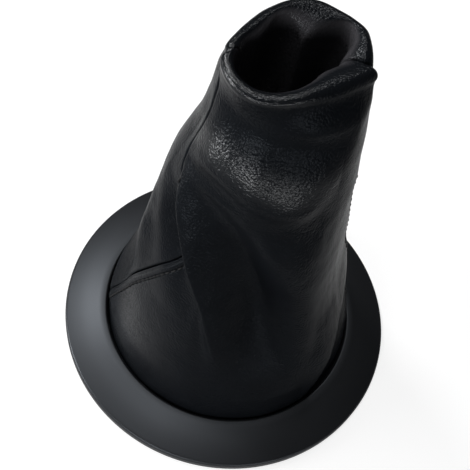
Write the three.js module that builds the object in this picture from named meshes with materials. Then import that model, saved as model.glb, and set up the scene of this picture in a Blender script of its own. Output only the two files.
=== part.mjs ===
import * as THREE from 'three';

// Gear lever gaiter: a sewn leather sleeve with its hem bonded under a round moulded bezel ring.
// Millimetres, +Z up. The ring's foot stands on Z = 0 and the ring's axis is the Z axis.
// Angles are in degrees round the Z axis, 0 at +X, 90 at +Y (the back), 270 at the front.

// Bezel ring
const RING_OUTER_RADIUS = 70;
const RING_OPENING_RADIUS = 52.2;
const RING_HEIGHT = 7.2;
const RING_SKIRT_HEIGHT = 2.5;
const RING_SHOULDER_HEIGHT = 3.8;
const RING_WALL = 2.4;
const RING_EDGE_ROUND = 1.3;
const RING_EDGE_CHAMFER = 0.4;
const RING_SHOULDER_FALL = 0.5;
const RING_CROWN_SHIFT = 0.4;
const RING_CROWN_RISE = 0.2;
const RING_LIP_WIDTH = 3;
const RING_LIP_FALL = 0.15;
const RING_LIP_ROUND_FALL = 0.35;
const RING_LIP_DEPTH = 1;
const RING_OPENING_FOOT = 4.5;
const RING_INSIDE_THINNING = 0.1;
const RING_FOOT_CHAMFER = 0.6;
const RING_FOOT_STEP = 1.2;
const RING_SEGMENTS = 64;

// Leather
const LEATHER_THICKNESS = 1.2;
const LEATHER_TO_RING_GAP = 0.45;
const PANEL_GAP = 0.3;
const HEM_SHARE_OF_RING = 0.45;
const WALL_START_HEIGHT = 5.4;
const WALL_TOP_HEIGHT = 143;
const RIM_HEIGHT = 156;
const TURNED_IN_END_HEIGHT = 113;

// Seams: turned edges, a raised band beside them and one row of thread on the front panel
const STITCH_LINE_OFFSET = 3.8;
const THREAD_RADIUS = 0.35;
const THREAD_TO_LEATHER_GAP = 0.3;
const THREAD_START_HEIGHT = 9;
const THREAD_END_HEIGHT = 111;
const THREAD_SIDES = 6;
const MOST_STRETCH = 1.6;

// Mesh steps
const COLUMNS_BEFORE_RIDGE = 5;
const COLUMNS_AFTER_RIDGE = 16;
const COLUMNS_BEFORE_CREASE = 12;
const COLUMNS_AFTER_CREASE = 1;
const SEAM_SHARE_OF_ROOM = 0.4;
const END_SHARE_OF_ROOM = 0.55;
const GATHER_SHARE_OF_ROOM = 0.25;

// Colours and roughness
const LEATHER_LOOK = { color: 0x25272a, roughness: 0.5 };
const RING_LOOK = { color: 0x1c1d20, roughness: 0.45 };
const THREAD_LOOK = { color: 0x141416, roughness: 0.7 };

const radians = (degrees) => degrees * Math.PI / 180;

// Heights in the tables of the wall, its folds and its seams are for a wall that ends at this height
const TABLE_TOP_HEIGHT = 143;
const HEIGHT_SCALE = WALL_TOP_HEIGHT / TABLE_TOP_HEIGHT;
const tableHeight = (height) => height / HEIGHT_SCALE;

// Wall of the sleeve without its folds:
// height, mean radius as a share of the ring opening's radius, centre X, centre Y
const WALL = [
  [5, 0.988, 0, 0], [8, 0.986, 0, 0], [12, 0.979, 0, 0], [20, 0.946, 0.1, 0.2],
  [30, 0.889, 0.3, 0.4], [40, 0.822, 0.1, 0.6], [50, 0.764, -0.1, 0.8], [60, 0.713, -0.7, 1],
  [71, 0.678, -1.1, 1.2], [83, 0.651, -1.5, 1.3], [99, 0.602, -1.7, 1.6], [111, 0.554, -0.6, 1.8],
  [122, 0.5, 0.6, 2], [133, 0.464, 0.9, 2], [143, 0.437, 0.6, 2], [153, 0.406, 0.5, 2],
];

// Folds that run down the wall, top first:
// height, angle, outward height, sideways lean, width on the low-angle side, width on the high side
const FOLDS_DOWN = {
  mainRidge: [
    [116, 208, 0, 0, 2.5, 6], [109, 214, 2, -0.6, 2.3, 6], [102, 224, 4.2, -2, 2.4, 6.5],
    [94, 234, 5.2, -2.8, 2.5, 7], [86, 242, 5.6, -3, 2.6, 7], [77, 250, 5.6, -2.8, 2.8, 7],
    [67, 258, 5.4, -2.2, 3, 7], [57, 263.5, 4.8, -1.6, 3.2, 7], [47, 268, 3.4, -0.8, 3.6, 7],
    [38, 271, 1.4, 0, 5, 7], [28, 272, 0, 0, 7, 8],
  ],
  mainValley: [
    [113, 238, 0, 0, 8, 6], [107, 246, -3, 0, 10, 7], [99, 258, -6, 0, 12, 8],
    [90, 268.5, -8.2, 0, 13, 9], [80, 278.5, -9.4, 0, 14, 9], [68, 287.5, -9.6, 0, 14, 9],
    [56, 293, -8.2, 0, 14, 9], [44, 298, -5, 0, 14, 9], [32, 301, -2, 0, 14, 10],
    [20, 302, 0, 0, 12, 10],
  ],
  columnEdge: [
    [122, 262, 0, 0, 6, 9], [113, 274, 0.9, 0, 7, 10], [105, 284, 1.6, 0, 8, 11],
    [94, 292, 2, 0, 8, 12], [83, 299, 2.2, 0, 8, 12], [70, 305, 2, 0, 8, 12],
    [57, 308.5, 1.4, 0, 8, 12], [44, 310, 0, 0, 8, 12],
  ],
  column: [
    [120, 296, 0, 0, 10, 14], [106, 304, 1.2, 0, 10, 14], [88, 312, 2.2, 0, 10, 14],
    [70, 318, 2.8, 0, 10, 14], [52, 320, 2.8, 0, 11, 13], [36, 318, 2, 0, 13, 12],
    [20, 314, 0.6, 0, 14, 12], [8, 312, 0, 0, 14, 12],
  ],
  leftCrease: [
    [98, 181, 0, 0, 5, 6], [88, 186, 0.6, 0, 5, 6], [76, 191, 2.3, 0, 4.6, 6],
    [66, 194.5, 3.8, 0, 4.6, 6], [56, 197, 3.2, 0, 4.8, 6], [46, 198, 1.5, 0, 5, 7],
    [34, 198, 0, 0, 5, 7],
  ],
  leftHollow: [
    [64, 182, 0, 0, 6, 5], [52, 185, -1.4, 0, 7, 6], [40, 187, -2.2, 0, 8, 7],
    [28, 188, -1.6, 0, 8, 8], [16, 188, 0, 0, 8, 8],
  ],
  leftBulge: [
    [50, 226, 0, 0, 10, 12], [38, 224, 1.6, 0, 14, 14], [26, 226, 2, 0, 16, 16],
    [18, 228, 1, 0, 16, 16], [11, 228, 0, 0, 16, 16],
  ],
};

// Folds that run round the wall, low angle first:
// angle, height, outward height, downward sag, width below, width above
const FOLDS_ROUND = {
  shoulder: [
    [192, 118, 0, 0, 6, 7], [208, 122, 1.8, 0.3, 6, 9], [223, 124.5, 3.2, 0.5, 6, 10],
    [240, 125, 4, 0.6, 6, 10], [256, 124, 4.2, 0.6, 6, 10], [270, 122, 4.2, 0.6, 6, 10],
    [286, 120.5, 3.8, 0.5, 6, 10], [300, 120, 2.8, 0.4, 6, 10], [314, 122, 1.4, 0.2, 6, 9],
    [328, 125, 0, 0, 6, 8],
  ],
  neckHollow: [
    [212, 143, 0, 0, 5, 5], [236, 141.5, -1.4, 0, 6, 6], [262, 140.5, -2, 0, 6, 6],
    [290, 139.5, -2.4, 0, 7, 7], [316, 139.5, -2, 0, 7, 7], [342, 143, 0, 0, 6, 6],
  ],
  pocket: [
    [190, 100, 0, 0, 6, 6], [202, 98, -2, 0, 7, 6], [212, 92, -4.2, 0, 8, 7],
    [222, 85, -5, 0, 8, 7], [232, 77, -3.8, 0, 7, 8], [242, 68, -1.6, 0, 6, 8],
    [252, 58, 0, 0, 6, 6],
  ],
  underShoulder: [
    [246, 111, 0, 0, 6, 5], [262, 110, -0.8, 0, 6, 6], [278, 107, -1.4, 0, 7, 6],
    [298, 105, -1, 0, 7, 6], [318, 106, 0, 0, 6, 6],
  ],
  lowerEdge: [
    [316, 13, 0, 0, 4, 8], [322, 19, 1.6, 0, 4, 9], [328, 28, 3, 0.6, 4, 10],
    [335, 38, 3.6, 1.2, 4, 10], [343, 47, 3.4, 1.4, 4, 10], [354, 54, 2.8, 1, 4.5, 10],
    [368, 59, 2, 0.6, 5, 9], [384, 63, 1, 0, 6, 8], [404, 66, 0, 0, 6, 8],
  ],
  lowerRecess: [
    [322, 6, 0, 0, 5, 5], [328, 11, -1.6, 0, 5, 6], [336, 19, -4, 0, 7, 7],
    [345, 27, -5.4, 0, 9, 8], [356, 33, -5, 0, 10, 9], [372, 38, -3.4, 0, 11, 9],
    [392, 42, -1.4, 0, 10, 9], [408, 44, 0, 0, 10, 9],
  ],
};

// Rim of the sleeve: angle, crest radius, half width of the roll, crest height
const RIM = [
  [4, 19, 3.2, 156], [12, 18.2, 3, 155], [22, 18.8, 2.8, 156.4], [34, 20, 2.6, 157],
  [46, 21.4, 2.6, 156.8], [58, 21.5, 2.8, 156.5], [72, 21, 3.1, 156.6], [87, 20.9, 3.2, 156.9],
  [100, 20, 3, 157], [114, 18.4, 3, 156.8], [132, 16.6, 3, 156.6], [152, 15.6, 3, 156.4],
  [170, 16.4, 2.8, 156.2], [185, 18.2, 2.4, 155.6], [192, 18.6, 2, 155.2], [200, 20, 1.9, 155.8],
  [212, 20.6, 1.8, 155.6], [224, 20.8, 1.8, 155.4], [236, 20.4, 1.8, 155.2],
  [248, 19.2, 1.8, 155], [258, 17.8, 1.8, 155], [268, 16.4, 1.8, 155.2], [280, 14.8, 2, 155.6],
  [294, 13.4, 2.4, 156], [310, 12.8, 2.8, 156.4], [326, 13.2, 3.2, 156.6],
  [342, 14.6, 3.4, 156.6], [354, 16.8, 3.4, 156.4],
];

// Leather turned down inside the sleeve: angle about its own centre, radius at the rim, radius at its end
const RIM_MEAN_RADIUS = 20;
const ROLL_FALL_LEAST = 2;
const ROLL_FALL_MOST = 9;
const INSIDE_CENTRE = [-2, 3.5];
const INSIDE = [
  [10, 13.5, 12.5], [20, 15.4, 14.5], [30, 18.2, 17], [40, 19.4, 18.2], [50, 19.2, 17.8],
  [56, 17.2, 15.8], [62, 13.6, 12], [68, 10.6, 9], [75, 9.2, 7.6], [83, 9.4, 7.4], [92, 10.6, 9],
  [104, 12, 12], [120, 12, 13.6], [145, 10.4, 13.2], [168, 10.6, 13], [190, 13.5, 13.5],
  [205, 16.2, 14.4], [220, 18.4, 15.4], [235, 18.8, 15.8], [250, 18.2, 15.6], [265, 16.8, 14.8],
  [280, 14.8, 13.6], [295, 12.8, 12.2], [310, 11, 11.2], [325, 9.6, 10.4], [340, 9.4, 10.2],
  [355, 10.6, 11],
];

// Seam lines on the wall: height, angle
const LEFT_SEAM = [
  [3, 188], [10, 191], [18, 194], [32, 199.5], [42, 203.5], [52, 209.5], [64, 218.5], [73, 227],
  [80, 231.5], [86, 229], [92, 222], [98, 214.5], [104, 209], [109, 206], [114, 203.5],
  [122, 201], [132, 202], [140, 202], [150, 200], [156, 195],
];
const RIGHT_SEAM = [[3, 20], [30, 19], [60, 16], [90, 14], [120, 14], [140, 15], [150, 14], [156, 12]];

// Crest line of the main ridge and on past its ends: height, angle, spread of the columns along it
const RIDGE_LINE = [
  [3, 262, 3], [20, 270, 2.4], [34, 271.5, 1.6], [47, 268, 1], [57, 263.5, 1], [67, 257.5, 1],
  [77, 249, 1], [86, 240.5, 1], [94, 232.5, 1], [102, 223.5, 1], [110, 220, 1.2], [120, 224, 1.6],
  [135, 228, 1.8], [156, 232, 1.8],
];
const RIDGE_COLUMNS = [-4.4, -2, 0, 2.2, 5];

// The same for the rear panel's crease
const CREASE_LINE = [
  [3, 162, 1.6], [20, 170, 1.5], [34, 182, 1.2], [46, 191, 1], [56, 195.5, 1], [66, 194.5, 1],
  [76, 191, 1], [88, 187, 1.1], [100, 184, 1.3], [120, 180, 1.5], [156, 172, 1.6],
];
const CREASE_COLUMNS = [-7, -4.4, -2, 0, 2.4];

// Relief beside a seam: distance from the seam line, height of the leather's face
const SEAM_RELIEF = [[0, -0.7], [1.3, 0.35], [2.6, 0.3], [3.8, -0.2], [5.2, 0.1], [7, 0]];
const SEAM_COLUMNS = [0, 1.3, STITCH_LINE_OFFSET, 6.4];

// Smooth curve through hand-placed rows; the first number of a row is its place along the curve
function curveValue(rows, place, column) {
  const last = rows.length - 1;
  const at = Math.min(Math.max(place, rows[0][0]), rows[last][0]);
  let i = 0;
  while (i < last - 1 && rows[i + 1][0] <= at) i += 1;
  const slope = (k) => {
    const from = rows[Math.max(k - 1, 0)];
    const to = rows[Math.min(k + 1, last)];
    return (to[column] - from[column]) / (to[0] - from[0]);
  };
  const [a, b] = [rows[i], rows[i + 1]];
  const step = b[0] - a[0];
  const t = (at - a[0]) / step;
  const t2 = t * t;
  const t3 = t2 * t;
  return (2 * t3 - 3 * t2 + 1) * a[column] + (t3 - 2 * t2 + t) * step * slope(i)
    + (3 * t2 - 2 * t3) * b[column] + (t3 - t2) * step * slope(i + 1);
}

// The same curve round a full turn
function closedRows(rows) {
  const shifted = (row, turn) => [row[0] + turn, ...row.slice(1)];
  const before = rows.slice(-2).map((row) => shifted(row, -360));
  const after = rows.slice(0, 2).map((row) => shifted(row, 360));
  return [...before, ...rows, ...after];
}
const RIM_ROUND = closedRows(RIM);
const INSIDE_ROUND = closedRows(INSIDE);
const fullTurn = (angle) => ((angle % 360) + 360) % 360;
const angleBetween = (a, b) => fullTurn(a - b + 180) - 180;

const DOWN_ROWS = Object.values(FOLDS_DOWN).map((rows) => [...rows].reverse());
const ROUND_ROWS = Object.values(FOLDS_ROUND);

// Width of a fold at one place: two bell-shaped sides of different width
function bell(distance, lowWidth, highWidth) {
  const width = distance < 0 ? lowWidth : highWidth;
  return Math.exp(-((distance / width) ** 2));
}

// Mean radius of the wall at one height
const wallRadius = (height) => RING_OPENING_RADIUS * curveValue(WALL, tableHeight(height), 1);

// A point of the sleeve's outer face between the ring and the neck
function wallPoint(angle, height) {
  const mean = wallRadius(height);
  const level = tableHeight(height);
  const perDegree = radians(1) * mean;
  const turn = radians(angle);
  let radius = mean + curveValue(WALL, level, 2) * Math.cos(turn)
    + curveValue(WALL, level, 3) * Math.sin(turn);
  let lean = 0;
  let sag = 0;
  for (const rows of DOWN_ROWS) {
    if (level > rows[0][0] && level < rows[rows.length - 1][0]) {
      const run = curveValue(rows, level + 0.5, 1) - curveValue(rows, level - 0.5, 1);
      const away = angleBetween(angle, curveValue(rows, level, 1));
      const across = away * perDegree / Math.hypot(1, run * perDegree);
      const share = bell(across, curveValue(rows, level, 4), curveValue(rows, level, 5));
      radius += curveValue(rows, level, 2) * share;
      lean += curveValue(rows, level, 3) * share;
    }
  }
  for (const rows of ROUND_ROWS) {
    const middle = (rows[0][0] + rows[rows.length - 1][0]) / 2;
    const place = middle + angleBetween(angle, middle);
    if (place > rows[0][0] && place < rows[rows.length - 1][0]) {
      const run = curveValue(rows, place + 0.5, 1) - curveValue(rows, place - 0.5, 1);
      const across = (level - curveValue(rows, place, 1)) / Math.hypot(1, run / perDegree);
      const share = bell(across, curveValue(rows, place, 4), curveValue(rows, place, 5));
      radius += curveValue(rows, place, 2) * share;
      sag += curveValue(rows, place, 3) * share;
    }
  }
  const moved = turn + lean / radius;
  return new THREE.Vector3(radius * Math.cos(moved), radius * Math.sin(moved), height - sag);
}

// A point of the rolled rim, roll 0 outside to 1 inside, then down the turned-in leather, down 0 to 1
function rimPoint(angle, roll, down) {
  const place = fullTurn(angle);
  const turn = radians(angle);
  const crest = curveValue(RIM_ROUND, place, 1);
  const half = curveValue(RIM_ROUND, place, 2);
  const top = curveValue(RIM_ROUND, place, 3);
  const onInside = (column) => {
    const radius = curveValue(INSIDE_ROUND, place, column);
    return [INSIDE_CENTRE[0] + radius * Math.cos(turn), INSIDE_CENTRE[1] + radius * Math.sin(turn)];
  };
  const [nearX, nearY] = onInside(1);
  const [endX, endY] = onInside(2);
  const crestX = crest * Math.cos(turn);
  const crestY = crest * Math.sin(turn);
  if (roll < 0.5) {
    const bend = roll * Math.PI;
    const radius = crest + half * Math.cos(bend);
    const height = top - half + half * Math.sin(bend);
    return new THREE.Vector3(radius * Math.cos(turn), radius * Math.sin(turn), height);
  }
  const bend = (Math.min(roll, 1) - 0.5) * Math.PI;
  const reach = Math.hypot(nearX - crestX, nearY - crestY);
  const fall = Math.min(Math.max(reach, ROLL_FALL_LEAST), ROLL_FALL_MOST);
  const inner = new THREE.Vector3(
    crestX + (nearX - crestX) * Math.sin(bend),
    crestY + (nearY - crestY) * Math.sin(bend),
    top - fall + fall * Math.cos(bend),
  );
  const end = new THREE.Vector3(endX, endY, TURNED_IN_END_HEIGHT);
  return inner.lerp(end, down);
}

// Neck between the wall's top and the rim: a smooth run from one to the other, rise 0 to 1
function neckPoint(angle, rise) {
  const low = wallPoint(angle, WALL_TOP_HEIGHT);
  const under = wallPoint(angle, WALL_TOP_HEIGHT - 1);
  const high = rimPoint(angle, 0, 0);
  const climb = high.z - low.z;
  const leaving = low.clone().sub(under).multiplyScalar(climb);
  const arriving = new THREE.Vector3(0, 0, climb);
  const t2 = rise * rise;
  const t3 = t2 * rise;
  return low.clone().multiplyScalar(2 * t3 - 3 * t2 + 1)
    .addScaledVector(leaving, t3 - 2 * t2 + rise)
    .addScaledVector(high, 3 * t2 - 2 * t3)
    .addScaledVector(arriving, t3 - t2);
}

// Hem: the leather bent outward under the ring's opening edge and bonded to the ring's underside
const HEM_WIDTH = HEM_SHARE_OF_RING * (RING_OUTER_RADIUS - RING_OPENING_RADIUS);
const HEM_BEND_WIDTH = 1.1;
const HEM_START_RADIUS = RING_OPENING_RADIUS + HEM_BEND_WIDTH;
const HEM_START_HEIGHT = RING_OPENING_FOOT - LEATHER_TO_RING_GAP;
const HEM_SLOPE = 0.165;
function hemPoint(angle, outward) {
  const radius = HEM_START_RADIUS + HEM_WIDTH * outward;
  const turn = radians(angle);
  return new THREE.Vector3(
    radius * Math.cos(turn),
    radius * Math.sin(turn),
    HEM_START_HEIGHT - HEM_WIDTH * outward * HEM_SLOPE,
  );
}

// Rows of the leather's face from the hem's free edge, up the wall, over the rim and down inside
const WALL_STEPS = [
  10.5, 17, 24, 31, 38, 45, 52, 59, 66, 73, 80, 86, 92, 98, 104, 110, 116, 121.5, 126, 130, 134, 138,
  TABLE_TOP_HEIGHT,
];
const WALL_HEIGHTS = [WALL_START_HEIGHT, ...WALL_STEPS.map((height) => height * HEIGHT_SCALE)];
const HEM_STEPS = [1, 0.5, 0];
const BEND_RADIUS = RING_OPENING_RADIUS - LEATHER_TO_RING_GAP;
const BEND_RISE = 0.1;
const BEND_HEIGHT = HEM_START_HEIGHT + BEND_RISE;
const NECK_STEPS = [0.35, 0.7];
const ROLL_STEPS = [0, 0.25, 0.5, 0.75, 1];
const DOWN_STEPS = [0.2, 0.4, 0.6, 0.8, 1];
const ROWS = [
  ...HEM_STEPS.map((step) => ({
    height: WALL_START_HEIGHT,
    flat: true,
    at: (angle) => hemPoint(angle, step),
  })),
  {
    height: WALL_START_HEIGHT,
    flat: true,
    at: (angle) => new THREE.Vector3(
      BEND_RADIUS * Math.cos(radians(angle)),
      BEND_RADIUS * Math.sin(radians(angle)),
      BEND_HEIGHT,
    ),
  },
  ...WALL_HEIGHTS.map((height) => ({ height, at: (angle) => wallPoint(angle, height) })),
  ...NECK_STEPS.map((step) => ({
    height: WALL_TOP_HEIGHT + (RIM_HEIGHT - WALL_TOP_HEIGHT) * step,
    at: (angle) => neckPoint(angle, step),
  })),
  ...ROLL_STEPS.map((step) => ({ height: RIM_HEIGHT, at: (angle) => rimPoint(angle, step, 0) })),
  ...DOWN_STEPS.map((step) => ({ height: RIM_HEIGHT, at: (angle) => rimPoint(angle, 1, step) })),
];

// Mean radius of one row of the sleeve
const rowRadius = (row) => (row.height > WALL_TOP_HEIGHT ? RIM_MEAN_RADIUS : wallRadius(row.height));

// Angle of a line at a set distance from a seam, measured square to the seam
function besideSeam(seam, row, distance) {
  const perDegree = radians(1) * rowRadius(row);
  const level = tableHeight(row.height);
  const run = (curveValue(seam, level + 1, 1) - curveValue(seam, level - 1, 1)) / 2;
  const stretch = Math.min(Math.hypot(1, run * perDegree), MOST_STRETCH);
  return curveValue(seam, level, 1) + distance * stretch / perDegree;
}

// Evenly spaced places strictly between two angles
function placesBetween(from, to, count) {
  return Array.from({ length: count }, (_, i) => ({
    angle: from + (to - from) * (i + 1) / (count + 1),
    distance: Infinity,
  }));
}

// Column places of one row between two seams; some columns gather along the crest line of a fold
function rowPlaces(row, fromSeam, toSeam, toTurn, fold) {
  const half = PANEL_GAP / 2;
  const perDegree = radians(1) * rowRadius(row);
  const level = tableHeight(row.height);
  const crest = curveValue(fold.line, level, 1);
  const seamWidth = SEAM_COLUMNS[SEAM_COLUMNS.length - 1];
  const roomBefore = (crest - curveValue(fromSeam, level, 1)) * perDegree;
  const roomAfter = (curveValue(toSeam, level, 1) + toTurn - crest) * perDegree;
  const startSqueeze = Math.min(1, SEAM_SHARE_OF_ROOM * roomBefore / seamWidth);
  const endSqueeze = Math.min(1, END_SHARE_OF_ROOM * roomAfter / seamWidth);
  const starts = SEAM_COLUMNS.map((step) => ({
    angle: besideSeam(fromSeam, row, step * startSqueeze + half),
    distance: step * startSqueeze,
  }));
  const ends = SEAM_COLUMNS.map((step) => ({
    angle: besideSeam(toSeam, row, -step * endSqueeze - half) + toTurn,
    distance: step * endSqueeze,
  })).reverse();
  const mostSpread = GATHER_SHARE_OF_ROOM * roomBefore / -fold.columns[0];
  const spread = Math.min(curveValue(fold.line, level, 2), mostSpread);
  const gathered = fold.columns.map((step) => ({
    angle: crest + step * spread / perDegree,
    distance: Infinity,
  }));
  return [
    ...starts,
    ...placesBetween(starts[starts.length - 1].angle, gathered[0].angle, fold.before),
    ...gathered,
    ...placesBetween(gathered[gathered.length - 1].angle, ends[0].angle, fold.after),
    ...ends,
  ];
}

// Height of the leather's face beside a seam
const SEAM_RELIEF_WIDTH = SEAM_RELIEF[SEAM_RELIEF.length - 1][0];
const seamRelief = (distance) => (
  distance > SEAM_RELIEF_WIDTH ? 0 : curveValue(SEAM_RELIEF, distance, 1)
);

// Face normal of a grid of points at one place, from its neighbours
function gridNormal(grid, i, j) {
  const rows = grid.length - 1;
  const columns = grid[0].length - 1;
  const along = grid[i][Math.min(j + 1, columns)].clone().sub(grid[i][Math.max(j - 1, 0)]);
  const up = grid[Math.min(i + 1, rows)][j].clone().sub(grid[Math.max(i - 1, 0)][j]);
  return along.cross(up).normalize();
}

// Face of one leather panel as a grid of points between two seams
function panelFace(fromSeam, toSeam, toTurn, fold) {
  const places = ROWS.map((row) => rowPlaces(row, fromSeam, toSeam, toTurn, fold));
  const plain = ROWS.map((row, i) => places[i].map(({ angle }) => row.at(angle)));
  return plain.map((line, i) => line.map((point, j) => {
    const relief = ROWS[i].flat ? 0 : seamRelief(places[i][j].distance);
    return point.clone().addScaledVector(gridNormal(plain, i, j), relief);
  }));
}

function closedGeometry(points, index) {
  const geometry = new THREE.BufferGeometry();
  const positions = points.flatMap((point) => point.toArray());
  geometry.setAttribute('position', new THREE.Float32BufferAttribute(positions, 3));
  geometry.setIndex(index);
  geometry.computeVertexNormals();
  return geometry;
}

// One closed leather panel: its face, its flesh side one thickness in, and its cut edges
function panelGeometry(face) {
  const flesh = face.map((line, i) => line.map((point, j) => (
    point.clone().addScaledVector(gridNormal(face, i, j), -LEATHER_THICKNESS)
  )));
  const width = face[0].length;
  const count = face.length * width;
  const index = [];
  const quad = (a, b, c, d) => index.push(a, b, c, a, c, d);
  for (let i = 0; i < face.length - 1; i += 1) {
    for (let j = 0; j < width - 1; j += 1) {
      const corners = [i * width + j, i * width + j + 1, (i + 1) * width + j + 1, (i + 1) * width + j];
      const rising = face[i][j].distanceTo(face[i + 1][j + 1]);
      const falling = face[i][j + 1].distanceTo(face[i + 1][j]);
      if (falling < rising) corners.push(corners.shift());
      quad(...corners);
      quad(...corners.map((corner) => count + corner).reverse());
    }
    const low = i * width;
    const high = low + width;
    quad(low, high, count + high, count + low);
    quad(high - 1, count + high - 1, count + high + width - 1, high + width - 1);
  }
  const lastRow = (face.length - 1) * width;
  for (let j = 0; j < width - 1; j += 1) {
    quad(j, count + j, count + j + 1, j + 1);
    quad(lastRow + j, lastRow + j + 1, count + lastRow + j + 1, count + lastRow + j);
  }
  return closedGeometry([...face.flat(), ...flesh.flat()], index);
}

// Row of thread laid along one column of a panel's face
function threadGeometry(face, column) {
  const lift = THREAD_RADIUS + THREAD_TO_LEATHER_GAP;
  const rows = ROWS.map((row, i) => i).filter((i) => (
    ROWS[i].height >= THREAD_START_HEIGHT && ROWS[i].height <= THREAD_END_HEIGHT
  ));
  const normals = rows.map((i) => gridNormal(face, i, column));
  const centres = rows.map((i, k) => face[i][column].clone().addScaledVector(normals[k], lift));
  const last = centres.length - 1;
  const points = centres.flatMap((centre, i) => {
    const along = centres[Math.min(i + 1, last)].clone().sub(centres[Math.max(i - 1, 0)]).normalize();
    const sideways = along.clone().cross(normals[i]).normalize();
    const outward = sideways.clone().cross(along).normalize();
    return Array.from({ length: THREAD_SIDES }, (_, k) => {
      const bend = 2 * Math.PI * k / THREAD_SIDES;
      return centre.clone()
        .addScaledVector(sideways, THREAD_RADIUS * Math.cos(bend))
        .addScaledVector(outward, THREAD_RADIUS * Math.sin(bend));
    });
  });
  const index = [];
  for (let i = 0; i < last; i += 1) {
    for (let k = 0; k < THREAD_SIDES; k += 1) {
      const a = i * THREAD_SIDES + k;
      const b = i * THREAD_SIDES + (k + 1) % THREAD_SIDES;
      index.push(a, b + THREAD_SIDES, b, a, a + THREAD_SIDES, b + THREAD_SIDES);
    }
  }
  const lastRing = last * THREAD_SIDES;
  for (let k = 1; k < THREAD_SIDES - 1; k += 1) {
    index.push(0, k, k + 1);
    index.push(lastRing, lastRing + k + 1, lastRing + k);
  }
  return closedGeometry(points, index);
}

// Moulded bezel ring: a shell of even wall, open underneath, turned about the Z axis
function ringGeometry() {
  const outer = RING_OUTER_RADIUS;
  const inner = RING_OPENING_RADIUS;
  const foot = outer - RING_WALL;
  const crown = (outer + inner) / 2 + RING_CROWN_SHIFT;
  const crownHeight = (RING_SHOULDER_HEIGHT + RING_HEIGHT) / 2 + RING_CROWN_RISE;
  const underside = RING_WALL + RING_INSIDE_THINNING;
  const profile = [
    [outer, 0],
    [outer, RING_SKIRT_HEIGHT],
    [outer - RING_EDGE_CHAMFER, RING_SHOULDER_HEIGHT - RING_SHOULDER_FALL],
    [outer - RING_EDGE_ROUND, RING_SHOULDER_HEIGHT],
    [crown, crownHeight],
    [inner + RING_LIP_WIDTH, RING_HEIGHT - RING_LIP_FALL],
    [inner + RING_EDGE_ROUND, RING_HEIGHT],
    [inner + RING_EDGE_CHAMFER, RING_HEIGHT - RING_LIP_ROUND_FALL],
    [inner, RING_HEIGHT - RING_LIP_DEPTH],
    [inner, RING_OPENING_FOOT],
    [inner + RING_EDGE_ROUND, RING_OPENING_FOOT],
    [crown, crownHeight - underside],
    [foot - RING_FOOT_CHAMFER, RING_SHOULDER_HEIGHT + RING_EDGE_CHAMFER - underside],
    [foot, RING_FOOT_STEP],
    [foot, 0],
    [outer, 0],
  ];
  const points = profile.map(([radius, height]) => new THREE.Vector2(radius, height));
  const lathe = new THREE.LatheGeometry(points, RING_SEGMENTS);
  lathe.rotateX(Math.PI / 2);
  return lathe;
}

function named(name, geometry, look) {
  const mesh = new THREE.Mesh(geometry, new THREE.MeshStandardMaterial(look));
  mesh.name = name;
  return mesh;
}

const ridgeFold = {
  line: RIDGE_LINE,
  columns: RIDGE_COLUMNS,
  before: COLUMNS_BEFORE_RIDGE,
  after: COLUMNS_AFTER_RIDGE,
};
const creaseFold = {
  line: CREASE_LINE,
  columns: CREASE_COLUMNS,
  before: COLUMNS_BEFORE_CREASE,
  after: COLUMNS_AFTER_CREASE,
};
const frontFace = panelFace(LEFT_SEAM, RIGHT_SEAM, 360, ridgeFold);
const rearFace = panelFace(RIGHT_SEAM, LEFT_SEAM, 0, creaseFold);
const stitchColumn = SEAM_COLUMNS.indexOf(STITCH_LINE_OFFSET);
const farStitchColumn = frontFace[0].length - 1 - stitchColumn;

const gaiter = new THREE.Group();
gaiter.name = 'gear_lever_gaiter';
gaiter.add(named('bezel_ring', ringGeometry(), RING_LOOK));
gaiter.add(named('front_panel', panelGeometry(frontFace), LEATHER_LOOK));
gaiter.add(named('rear_panel', panelGeometry(rearFace), LEATHER_LOOK));
gaiter.add(named('left_seam_thread', threadGeometry(frontFace, stitchColumn), THREAD_LOOK));
gaiter.add(named('right_seam_thread', threadGeometry(frontFace, farStitchColumn), THREAD_LOOK));

export default gaiter;
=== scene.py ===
import math

import bpy
import numpy as np
from mathutils import Matrix, Vector, noise


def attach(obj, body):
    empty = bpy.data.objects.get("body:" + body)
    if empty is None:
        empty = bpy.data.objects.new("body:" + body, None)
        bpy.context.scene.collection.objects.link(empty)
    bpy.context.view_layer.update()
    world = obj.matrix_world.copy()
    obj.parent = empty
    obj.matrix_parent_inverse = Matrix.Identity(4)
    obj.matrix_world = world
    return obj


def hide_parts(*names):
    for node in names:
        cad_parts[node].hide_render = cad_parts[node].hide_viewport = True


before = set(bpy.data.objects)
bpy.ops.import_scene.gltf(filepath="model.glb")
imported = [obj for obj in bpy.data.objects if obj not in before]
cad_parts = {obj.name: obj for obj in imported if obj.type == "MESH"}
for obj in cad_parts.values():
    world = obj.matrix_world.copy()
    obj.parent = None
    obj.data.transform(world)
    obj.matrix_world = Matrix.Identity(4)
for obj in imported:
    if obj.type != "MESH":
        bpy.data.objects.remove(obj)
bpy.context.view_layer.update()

# The tables and sizes of the leather and the ring are in millimetres and degrees.
# The scene is in metres.
MM = 0.001

# Wall of the sleeve without its folds:
# height, mean radius as a share of the ring opening's radius, centre x, centre y
WALL = [
    (5, 0.988, 0, 0), (8, 0.986, 0, 0), (12, 0.979, 0, 0), (20, 0.946, 0.1, 0.2),
    (30, 0.889, 0.3, 0.4), (40, 0.822, 0.1, 0.6), (50, 0.764, -0.1, 0.8), (60, 0.713, -0.7, 1),
    (71, 0.678, -1.1, 1.2), (83, 0.651, -1.5, 1.3), (99, 0.602, -1.7, 1.6),
    (111, 0.554, -0.6, 1.8), (122, 0.5, 0.6, 2), (133, 0.464, 0.9, 2), (143, 0.437, 0.6, 2),
    (153, 0.406, 0.5, 2),
]

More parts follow.
